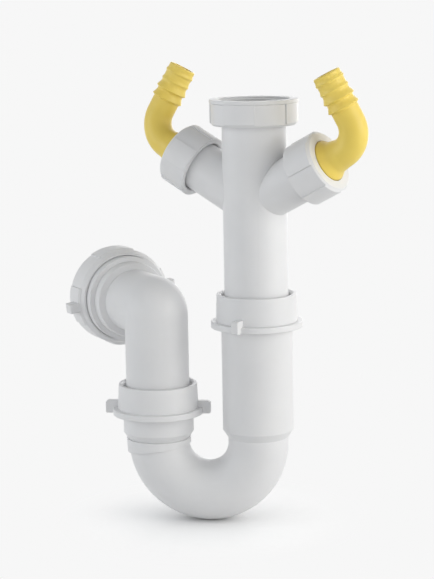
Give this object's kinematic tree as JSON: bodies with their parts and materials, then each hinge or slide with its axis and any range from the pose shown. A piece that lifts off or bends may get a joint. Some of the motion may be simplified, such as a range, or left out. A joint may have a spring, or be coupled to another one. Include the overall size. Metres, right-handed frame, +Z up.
{
  "type": "kitchen sink trap",
  "caption": "Kitchen sink trap: a swivelling tubular P trap with two angled hose branches, ribbed elbow nozzles and hand-turned compression nuts.",
  "frame": {"origin": "centre of the inlet nut's open mouth, where the sink waste screws in", "axes": "+Z up, out of the inlet nut's mouth; the bend's left leg lies towards -X and the outlet points back, towards +Y"},
  "size_m": [0.2078, 0.116, 0.2956],
  "materials": {
    "white_polypropylene": "satin moulded polypropylene",
    "yellow_plastic": "semi-gloss moulded plastic",
    "black_rubber": "matt rubber",
    "slip_ring_plastic": "smooth polythene"
  },
  "bodies": {
    "inlet_nut": {"inlet_nut": "white_polypropylene"},
    "inlet_washer": {"inlet_washer": "black_rubber"},
    "trunk": {"inlet_body": "white_polypropylene"},
    "nozzle_washer_right": {"nozzle_washer_right": "black_rubber"},
    "nozzle_right": {"nozzle_right": "yellow_plastic"},
    "nozzle_nut_right": {"nozzle_nut_right": "white_polypropylene"},
    "nozzle_washer_left": {"nozzle_washer_left": "black_rubber"},
    "nozzle_left": {"nozzle_left": "yellow_plastic"},
    "nozzle_nut_left": {"nozzle_nut_left": "white_polypropylene"},
    "height_seal": {"height_seal": "black_rubber"},
    "u_bend": {"u_bend": "white_polypropylene", "swivel_seal": "black_rubber"},
    "height_slip_ring": {"height_slip_ring": "slip_ring_plastic"},
    "height_nut": {"height_nut": "white_polypropylene"},
    "swivel_slip_ring": {"swivel_slip_ring": "slip_ring_plastic"},
    "swivel_nut": {"swivel_nut": "white_polypropylene"},
    "outlet_bend": {"outlet_bend": "white_polypropylene", "outlet_seal": "black_rubber"},
    "outlet_slip_ring": {"outlet_slip_ring": "slip_ring_plastic"},
    "outlet_nut": {"outlet_nut": "white_polypropylene"}
  },
  "joints": [
    {"name": "inlet_travel", "type": "slide", "parent": "inlet_nut", "child": "inlet_washer", "axis": [0, 0, 1], "range_m": [0, 0.01]},
    {"name": "inlet_swivel", "type": "hinge", "parent": "inlet_washer", "child": "trunk", "pos_m": [0, 0, 0], "axis": [0, 0, 1], "continuous": true},
    {"name": "nozzle_right_travel", "type": "slide", "parent": "trunk", "child": "nozzle_washer_right", "axis": [0.8154, -0.3512, 0.4602], "range_m": [0, 0.0082]},
    {"name": "nozzle_right_swivel", "type": "hinge", "parent": "nozzle_washer_right", "child": "nozzle_right", "pos_m": [0, 0, -0.0653], "axis": [0.8154, -0.3512, 0.4602], "continuous": true},
    {"name": "nozzle_nut_right_turn", "type": "hinge", "parent": "nozzle_washer_right", "child": "nozzle_nut_right", "pos_m": [0, 0, -0.0653], "axis": [0.8154, -0.3512, 0.4602], "range_deg": [0, 1260]},
    {"name": "nozzle_left_travel", "type": "slide", "parent": "trunk", "child": "nozzle_washer_left", "axis": [-0.8154, 0.3512, 0.4602], "range_m": [0, 0.0082]},
    {"name": "nozzle_left_swivel", "type": "hinge", "parent": "nozzle_washer_left", "child": "nozzle_left", "pos_m": [0, 0, -0.0653], "axis": [-0.8154, 0.3512, 0.4602], "continuous": true},
    {"name": "nozzle_nut_left_turn", "type": "hinge", "parent": "nozzle_washer_left", "child": "nozzle_nut_left", "pos_m": [0, 0, -0.0653], "axis": [-0.8154, 0.3512, 0.4602], "range_deg": [0, 1260]},
    {"name": "height_adjustment", "type": "slide", "parent": "trunk", "child": "height_seal", "axis": [0, 0, 1], "range_m": [-0.03, 0.03]},
    {"name": "bend_swivel", "type": "hinge", "parent": "height_seal", "child": "u_bend", "pos_m": [0, 0, 0], "axis": [0, 0, 1], "continuous": true},
    {"name": "height_nut_travel", "type": "slide", "parent": "u_bend", "child": "height_slip_ring", "axis": [0, 0, 1], "range_m": [0, 0.0082]},
    {"name": "height_nut_turn", "type": "hinge", "parent": "height_slip_ring", "child": "height_nut", "pos_m": [0, 0, 0], "axis": [0, 0, 1], "range_deg": [0, 1260]},
    {"name": "swivel_nut_travel", "type": "slide", "parent": "u_bend", "child": "swivel_slip_ring", "axis": [0, 0, 1], "range_m": [0, 0.0082]},
    {"name": "swivel_nut_turn", "type": "hinge", "parent": "swivel_slip_ring", "child": "swivel_nut", "pos_m": [-0.0658, 0, 0], "axis": [0, 0, 1], "range_deg": [0, 1260]},
    {"name": "outlet_swivel", "type": "hinge", "parent": "u_bend", "child": "outlet_bend", "pos_m": [-0.0658, 0, 0], "axis": [0, 0, 1], "range_deg": [-50, 155]},
    {"name": "outlet_nut_travel", "type": "slide", "parent": "outlet_bend", "child": "outlet_slip_ring", "axis": [-0.6018, 0.7986, 0], "range_m": [0, 0.0082]},
    {"name": "outlet_nut_turn", "type": "hinge", "parent": "outlet_slip_ring", "child": "outlet_nut", "pos_m": [-0.0658, 0, -0.1346], "axis": [-0.6018, 0.7986, 0], "range_deg": [0, 1260]}
  ],
  "couplings": [
    {"joint": "nozzle_right_travel", "follows": "nozzle_nut_right_turn", "m_per_rad": 0.00036749},
    {"joint": "nozzle_left_travel", "follows": "nozzle_nut_left_turn", "m_per_rad": 0.00036749},
    {"joint": "height_nut_travel", "follows": "height_nut_turn", "m_per_rad": 0.00036749},
    {"joint": "swivel_nut_travel", "follows": "swivel_nut_turn", "m_per_rad": 0.00036749},
    {"joint": "outlet_nut_travel", "follows": "outlet_nut_turn", "m_per_rad": 0.00036749}
  ]
}
